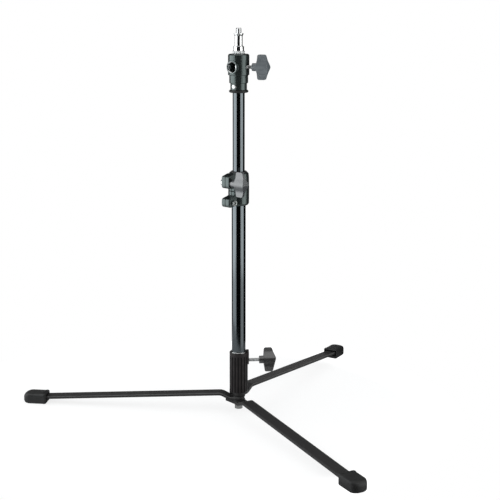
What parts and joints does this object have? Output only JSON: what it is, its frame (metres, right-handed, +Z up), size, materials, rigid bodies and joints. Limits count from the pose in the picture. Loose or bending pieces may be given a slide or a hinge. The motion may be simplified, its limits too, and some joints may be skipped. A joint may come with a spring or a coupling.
{
  "type": "backdrop stand",
  "caption": "Low folding backdrop stand: flat bar legs with rubber feet, a fluted socket, a telescopic column with a clamp collar, and a head with an upright chrome spigot.",
  "frame": {"origin": "middle of the footprint's bounding box, on the floor", "axes": "+Z up along the column, +X to the right in the picture, -Y towards its camera"},
  "size_m": [0.5748, 0.6618, 0.6499],
  "materials": {
    "black_paint": "satin black paint on flat steel bar",
    "socket_paint": "satin black paint on a fluted aluminium extrusion",
    "black_anodised": "glossy black anodised tube",
    "cast_black": "black powder coat on a die casting",
    "knob_plastic": "finely textured dark grey moulding",
    "rubber": "soft matt black",
    "chrome": "bright chrome plate",
    "zinc": "bright zinc plate",
    "nylon": "smooth black nylon",
    "brass": "bare brass"
  },
  "bodies": {
    "base": {"base_socket": "socket_paint", "hub_plate": "black_paint", "upper_friction_washer": "nylon", "lower_friction_washer": "nylon", "zinc_washer": "zinc", "lock_washer": "zinc", "hub_bolt": "zinc", "front_leg": "black_paint", "front_foot": "rubber"},
    "left_leg": {"left_leg": "black_paint", "left_foot": "rubber"},
    "right_leg": {"right_leg": "black_paint", "right_foot": "rubber"},
    "socket_pad": {"socket_pad": "brass"},
    "socket_knob": {"socket_screw": "zinc", "socket_knob": "knob_plastic"},
    "column_foot": {"lower_tube_plug": "nylon"},
    "column": {"lower_tube": "black_anodised", "clamp_collar": "cast_black", "collar_bush": "nylon", "clamp_bolt": "zinc", "fixing_screw": "zinc", "hex_nut": "chrome"},
    "clamp_washer": {"clamp_washer": "zinc"},
    "clamp_knob": {"clamp_knob": "knob_plastic"},
    "riser_foot": {"upper_tube_foot": "nylon"},
    "riser": {"upper_tube": "black_anodised", "head_body": "cast_black", "head_ring": "rubber", "head_screw_left": "chrome", "head_screw_right": "chrome"},
    "head_pad": {"head_pad": "brass"},
    "head_knob": {"head_screw": "zinc", "head_knob": "knob_plastic"},
    "spigot_collar": {"spigot_collar": "chrome"},
    "spigot": {"spigot": "chrome"}
  },
  "joints": [
    {"name": "left_leg_swing", "type": "hinge", "parent": "base", "child": "left_leg", "pos_m": [0.08956, 0, 0], "axis": [0, 0, 1], "range_deg": [0, 112]},
    {"name": "right_leg_swing", "type": "hinge", "parent": "base", "child": "right_leg", "pos_m": [0.08956, 0, 0], "axis": [0, 0, 1], "range_deg": [-107, 0]},
    {"name": "socket_pad_slide", "type": "slide", "parent": "base", "child": "socket_pad", "axis": [0.9925, 0.1219, 0], "range_m": [0, 0.002]},
    {"name": "socket_knob_turn", "type": "hinge", "parent": "socket_pad", "child": "socket_knob", "pos_m": [0.11933, 0.00366, 0.0895], "axis": [0.9925, 0.1219, 0], "range_deg": [0, 720]},
    {"name": "column_lift", "type": "slide", "parent": "base", "child": "column_foot", "axis": [0, 0, 1], "range_m": [0, 0.06]},
    {"name": "column_turn", "type": "hinge", "parent": "column_foot", "child": "column", "pos_m": [0.08956, 0, 0], "axis": [0, 0, 1], "continuous": true},
    {"name": "clamp_washer_slide", "type": "slide", "parent": "column", "child": "clamp_washer", "axis": [0.7547, -0.6561, 0], "range_m": [0, 0.002]},
    {"name": "clamp_knob_turn", "type": "hinge", "parent": "clamp_washer", "child": "clamp_knob", "pos_m": [0.07302, -0.01902, 0.398], "axis": [0.7547, -0.6561, 0], "range_deg": [0, 720]},
    {"name": "riser_slide", "type": "slide", "parent": "column", "child": "riser_foot", "axis": [0, 0, 1], "range_m": [-0.1295, 0.175]},
    {"name": "riser_turn", "type": "hinge", "parent": "riser_foot", "child": "riser", "pos_m": [0.08956, 0, 0], "axis": [0, 0, 1], "continuous": true},
    {"name": "head_pad_slide", "type": "slide", "parent": "riser", "child": "head_pad", "axis": [0.9511, -0.309, 0], "range_m": [0, 0.002]},
    {"name": "head_knob_turn", "type": "hinge", "parent": "head_pad", "child": "head_knob", "pos_m": [0.10858, -0.00618, 0.587], "axis": [0.9511, -0.309, 0], "range_deg": [0, 720]},
    {"name": "spigot_lift", "type": "slide", "parent": "riser", "child": "spigot_collar", "axis": [0, 0, 1], "range_m": [0, 0.046]},
    {"name": "spigot_turn", "type": "hinge", "parent": "spigot_collar", "child": "spigot", "pos_m": [0.08956, 0, 0], "axis": [0, 0, 1], "continuous": true}
  ],
  "couplings": [
    {"joint": "socket_pad_slide", "follows": "socket_knob_turn", "m_per_rad": 0.00015915},
    {"joint": "clamp_washer_slide", "follows": "clamp_knob_turn", "m_per_rad": 0.00015915},
    {"joint": "head_pad_slide", "follows": "head_knob_turn", "m_per_rad": 0.00015915}
  ]
}
